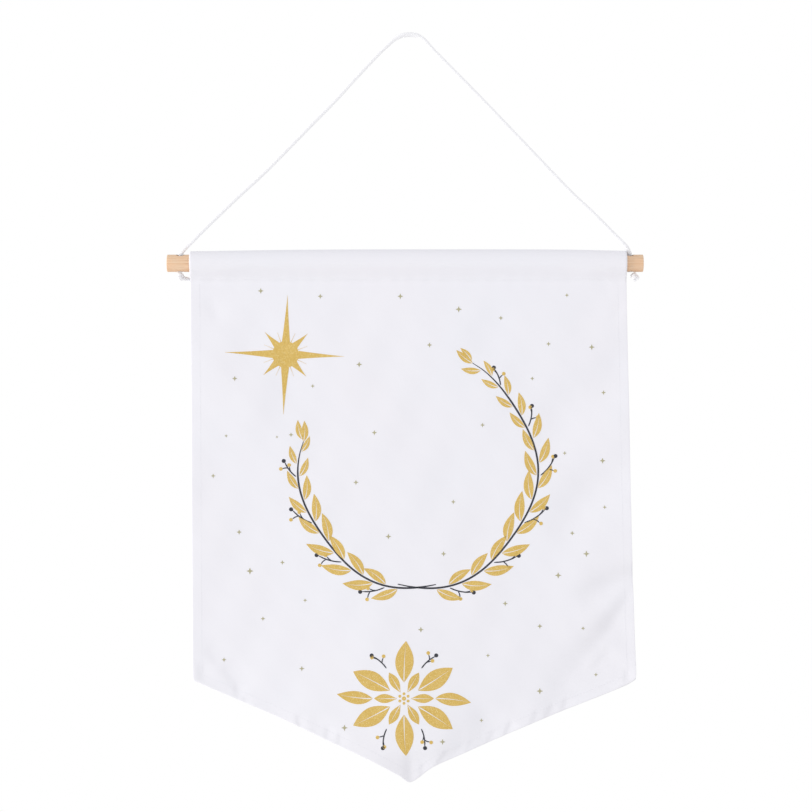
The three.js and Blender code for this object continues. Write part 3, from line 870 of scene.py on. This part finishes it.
def makeStitching():
    points, faces = [], []
    inset, width = cloth["hemWidth"] - stitch["inset"], cloth["width"]
    lift = inset * 1.1  # straight up from the sloping foot
    share = np.linspace(inset / width, 1 - inset / width, 420)
    lines = []
    for side in (0, 1):
        down = np.full(240, abs(side - inset / width))
        lines.append((np.linspace(seamZ - 4, readTable(footLine, down[0]) + lift, 240), down, False))
    lines += [(readTable(footLine, share) + lift, share, True), (np.full_like(share, seamZ - 1.1), share, True)]
    for facing in (-1, 1):
        for z, share, isAcross in lines:
            left, right = edgesAt(z)
            x = left + (right - left) * share
            y = cloth["frontY"] + clothDepth(x, z, share)
            if facing > 0:  # a side's stitches pull its hem flat
                y = y + (layersDepth(np.minimum(share, 1 - share) * width) if isAcross else cloth["layerPitch"])
            stitchesAlong(np.stack([x, y, z], axis=1), facing, points, faces)
    piece = makePiece("hemStitching", points, faces, makeMaterial("sewingThread", sewingThread))
    return piece


hemStitching = makeStitching()
print("hems and sleeve stitched")

# The print is thin films of ink on the cloth's face.
ink = {
    "proud": 0.1,  # how far the film's face stands off the cloth
    "thickness": 0.16,  # the rest of it is sunk into the weave
}


# Gathers flat shapes, given in (x, z), as one film on the cloth.
class InkFilm:
    def __init__(self):
        self.points, self.faces = [], []

    def addStrip(self, leftSide, rightSide, lift=0.0):
        self.faces += gridFaces(len(leftSide), 2, len(self.points))
        self.points += [(x, z, lift) for pair in zip(leftSide, rightSide) for x, z in pair]

    def addFan(self, centre, rim, lift=0.0):
        start, sides = len(self.points), len(rim)
        self.points += [(x, z, lift) for x, z in (centre, *rim)]
        self.faces += [[start, start + 1 + side, start + 1 + (side + 1) % sides] for side in range(sides)]

    def layOn(self, name, material):
        flat = np.array(self.points)
        x, z, lift = flat.T
        left, right = edgesAt(z)
        face = cloth["frontY"] + clothDepth(x, z, (x - left) / (right - left))
        faces = []
        for corners in self.faces:
            (oneX, oneZ), (twoX, twoZ) = flat[corners[1:3], :2] - flat[corners[0], :2]
            faces.append(corners if oneX * twoZ > oneZ * twoX else corners[::-1])
        points = np.stack([x, face - ink["proud"] - lift, z], axis=1)
        return giveThickness(makePiece(name, points, faces, material), ink["thickness"])


def polar(centre, radius, clock):  # clock is in radians from straight up, turning right
    return np.stack([centre[0] + radius * np.sin(clock), centre[1] + radius * np.cos(clock)], axis=-1)


# A pointed leaf or petal from its base, split by its midrib, leaning by bend towards its tip.
def addLeaf(film, base, clock, length, width, bend, rib, fullest=0.45):
    t = np.linspace(0, 1, 13)
    heading = clock + bend * t
    spine, side = polar(base, length * t, heading), polar((0, 0), 1, heading + math.pi / 2)
    swell = np.sin(np.pi * t ** (math.log(0.5) / math.log(fullest)))
    half = np.maximum(0.12, width / 2 * swell**0.9)
    gap = np.minimum(rib, half) / 2 * (1 - t)
    for hand in (-1, 1):
        inner, outer = (spine + side * hand * reach[:, None] for reach in (gap, half))
        film.addStrip(inner, outer)


# A line of ink through the points, thick in its middle and thin at its ends as a pen leaves it.
def addPenLine(film, points, width):
    line, _ = smoothLine(points, 1.4)
    run = np.gradient(line, axis=0)
    run /= np.linalg.norm(run, axis=1, keepdims=True)
    t = np.linspace(0, 1, len(line))
    half = width / 2 * (np.minimum(1, 0.5 + t * 6) * np.minimum(1, 0.35 + (1 - t) * 4))
    side = run[:, ::-1] * (1, -1) * half[:, None]
    film.addStrip(line - side, line + side)


def addDot(film, centre, radius):
    film.addFan(centre, polar(centre, radius, 2 * np.pi * np.arange(14) / 14))


star = {
    "centre": (-115.1, -293.7),
    "tilt": math.radians(2),
    "core": 12.2,
    "coreSides": 48,
    "armRows": 14,
    "armStart": 0.55,  # inside the core, as a share of its radius
    "longArms": [54.3, 54.3, 55.4, 56.0],  # up, right, down, left
    "shortArm": 27.8,
    "hairArm": 21.5,
    "longHalf": 4.3,
    "shortHalf": 4.6,
    "hairHalf": 0.45,
}


# Eight arms and eight hair-thin rays round a core; each kind has its own height, so that no faces coincide.
def addStar(film):
    centre, start, sides = star["centre"], star["core"] * star["armStart"], star["coreSides"]
    arms = [(math.pi / 2 * at, reach, star["longHalf"], 0.0) for at, reach in enumerate(star["longArms"])]
    arms += [(math.pi / 4 + math.pi / 2 * at, star["shortArm"], star["shortHalf"], 0.012) for at in range(4)]
    arms += [(math.pi / 8 + math.pi / 4 * at, star["hairArm"], star["hairHalf"], 0.006) for at in range(8)]
    t = np.linspace(0, 1, star["armRows"] + 1)
    for clock, reach, half, lift in arms:
        clock += star["tilt"]
        middle = polar(centre, start + (reach - start) * t, clock)
        side = polar((0, 0), np.maximum(0.1, half * (1 - t) * (1 - 0.25 * t)), clock + math.pi / 2)
        film.addStrip(middle - side, middle + side, lift)
    film.addFan(centre, polar(centre, star["core"], 2 * np.pi * np.arange(sides) / sides), 0.018)


# Small four-pointed sparkles, scattered where the panel is free: across, up, tip to tip.
sparkles = [
    (-138, -235, 5), (-83, -240, 4.5), (-9, -240, 5), (45, -252, 5.5), (145, -239, 3.5), (84, -260, 4),
    (18, -285, 4.5), (128, -284, 4), (168, -287, 5), (-47, -303, 5), (-162, -316, 4.5), (113, -316, 3.5),
    (-90, -323, 3.5), (179, -329, 4), (-110, -368, 4), (-123, -370, 2.5), (-170, -369, 3), (-33, -366, 4.5),
    (67, -359, 4), (143, -385, 3.5), (178, -392, 5), (-182, -406, 4), (-50, -412, 4.5), (40, -430, 4),
    (180, -435, 3.5), (-158, -458, 4.5), (-20, -462, 5), (150, -459, 4), (163, -478, 5.5), (-118, -486, 4),
    (31, -478, 4.5), (-148, -494, 6), (137, -498, 5.5), (-97, -521, 3.5), (88, -524, 4.5), (-136, -538, 4),
    (120, -545, 4.5), (160, -547, 3.5), (10, -548, 5), (-172, -576, 4), (-100, -584, 4.5), (72, -572, 3.5),
    (66, -632, 3.5), (172, -590, 3.5), (120, -605, 5.5), (-60.5, -638.5, 5.5), (30, -651.5, 5),
    (-21, -204.5, 3.5),
]


def addSparkles(film):
    for x, z, across in sparkles:
        reach = across / 2 * np.array([1.08, 0.42] * 4)  # tips and notches in turn
        film.addFan((x, z), polar((x, z), reach, np.pi / 4 * np.arange(8)))


wreath = {
    "centre": (7.4, -400.6),
    "radius": 109,
    "branches": [(178, 27), (183, 284)],  # clock degrees from foot to tip: the right one, the left one
    "leafPitch": 11.5,
    "leaf": (27, 9.2),  # the longest leaf's length and width
    "tipLeaf": (19, 6.5),
    "lean": math.radians(38),
    "stemWidth": 1.7,
    "stemSway": (2.2, 0.55),  # how far the stem sways, and radians of its swing from leaf to leaf
    "twigEvery": 4,
}


# An open wreath of gold leaves on fine black stems, with black twigs and berries between the leaves.
def addWreath(gold, black):
    sway, swing = wreath["stemSway"]
    for start, end in wreath["branches"]:
        hand = 1 if end > start else -1
        sweep = math.radians(abs(end - start))
        count = round(sweep * wreath["radius"] / wreath["leafPitch"])

        def onStem(step):
            clock = math.radians(start) + hand * sweep * step / count
            place = polar(wreath["centre"], wreath["radius"] + sway * math.sin(step * swing), clock)
            return place, clock + hand * math.pi / 2

        addPenLine(black, [onStem(step)[0] for step in range(-2, count + 1)], wreath["stemWidth"])
        for step in range(1, count + 1):
            t = step / count
            foot, forward = onStem(step)
            size = 0.62 + 0.38 * math.sin(math.pi * min(1, 0.25 + t * 0.85)) + 0.05 * math.sin(step * 2.7)
            length, width = (full * size for full in wreath["leaf"])
            outward = 1 if step % 2 else -1
            lean = hand * outward * wreath["lean"] * (1 + 0.12 * math.sin(step * 1.9))
            base = polar(foot, 2.4, forward - lean)
            addLeaf(gold, base, forward - lean, length, width, hand * outward * 0.25, 0.9)
            if step % wreath["twigEvery"] == 2 and t < 0.94:
                addTwig(gold, black, foot, forward + lean * 1.25, -hand * outward, 21 * size + 5)
        foot, forward = onStem(count)
        addLeaf(gold, foot, forward, *wreath["tipLeaf"], -hand * 0.2, 0.8)


# A bent twig with a berry at its tip, and two short stalks with gold berries.
def addTwig(gold, black, foot, clock, hand, length):
    def onTwig(share):
        return polar(foot, length * share, clock + hand * 0.3 * share)

    addPenLine(black, [onTwig(share) for share in (0.12, 0.4, 0.7, 1)], 1.15)
    addDot(black, polar(onTwig(1), 1.2, clock + hand * 0.3), 1.9)
    for share, lean in ((0.45, 0.75), (0.68, -0.7)):
        joint = onTwig(share)
        end = polar(joint, length * 0.26, clock + lean)
        addPenLine(black, [joint, polar(joint, length * 0.14, clock + lean * 0.8), end], 1.0)
        addDot(gold, polar(end, 1.5, clock + lean), 1.7)


flower = {
    "centre": (-5.6, -611.5),
    "petals": 6,
    "outer": (15, 38, 17),  # from the middle to the petal's base, its length, its width
    "inner": (6.5, 21, 8.4),
    "leaf": (29, 33, 12),
    "twig": (30, 19),
    "seeds": (4.4, 1.35),  # from the middle, and their radius
}


# A flat six-petalled winter rose in gold, with pointed leaves and fine black twigs between the petals.
def addFlower(gold, black):
    centre, step = flower["centre"], 2 * math.pi / flower["petals"]

    def leafAt(kind, clock, bend, rib, fullest):
        base, length, width = flower[kind]
        addLeaf(gold, polar(centre, base, clock), clock, length, width, bend, rib, fullest)

    for petal in range(flower["petals"]):
        leafAt("outer", step * petal, 0.05 * (-1) ** petal, 1.1, 0.5)
        leafAt("inner", step * petal + step / 2, 0.0, 0.8, 0.55)
    for quarter in (90, -90):
        leafAt("leaf", math.radians(quarter), 0.12, 1.0, 0.45)
    start, length = flower["twig"]
    for clock in map(math.radians, (30, -30, 150, -150)):
        addTwig(gold, black, polar(centre, start, clock), clock, math.copysign(1, clock), length)
    addDot(gold, centre, 2.0)
    for seed in range(flower["petals"]):
        addDot(gold, polar(centre, flower["seeds"][0], step * seed), flower["seeds"][1])


# Gold glitter ink, screen printed: warm gold flakes in a clear binder, grainy rather than mirror bright.
def glitterInk(tree):
    flake = 0.5  # mm; real flakes are near 0.2, drawn this coarse so that they show
    place = addNode(tree, "TexCoord", {})["Object"]
    cells = addNode(tree, "TexVoronoi", {"Vector": place, "Scale": 1 / (flake * mm)})
    grain = addNode(tree, "SeparateColor", {0: cells["Color"]})
    tone, _ = cloudyTone(tree, place, 13.33, 3.0, "#dab658", "#e6c571")
    tone = tinted(tree, tone, "#bd9843", grain[0], (0.0, 0.45), (0.5, 0.0))
    tone = tinted(tree, tone, "#f5e2a8", grain[1], (0.8, 1.0), (0.0, 0.8))
    return {"Base Color": tone, "Metallic": 0.3, "Roughness": 0.45}, (grain[2], 0.5, 0.06)


# Screen ink, matt and thin: faintly grained, the weave just showing through it.
def screenInk(tree, grainWidth, low, high):
    place = addNode(tree, "TexCoord", {})["Object"]
    tone, grain = cloudyTone(tree, place, grainWidth, 2.0, low, high)
    return {"Base Color": tone, "Roughness": 0.6}, (grain, 0.3, 0.04)


goldFilm, blackFilm, bronzeFilm = InkFilm(), InkFilm(), InkFilm()
addStar(goldFilm)
addSparkles(bronzeFilm)
addWreath(goldFilm, blackFilm)
addFlower(goldFilm, blackFilm)
goldPrint = goldFilm.layOn("goldPrint", makeMaterial("glitterInk", glitterInk))
blackPrint = blackFilm.layOn("blackPrint", makeMaterial("blackInk", screenInk, 1.11, "#24252c", "#3b3d47"))
bronzePrint = bronzeFilm.layOn("bronzePrint", makeMaterial("bronzeInk", screenInk, 0.77, "#a8a383", "#bfba98"))
print("print laid on the cloth")
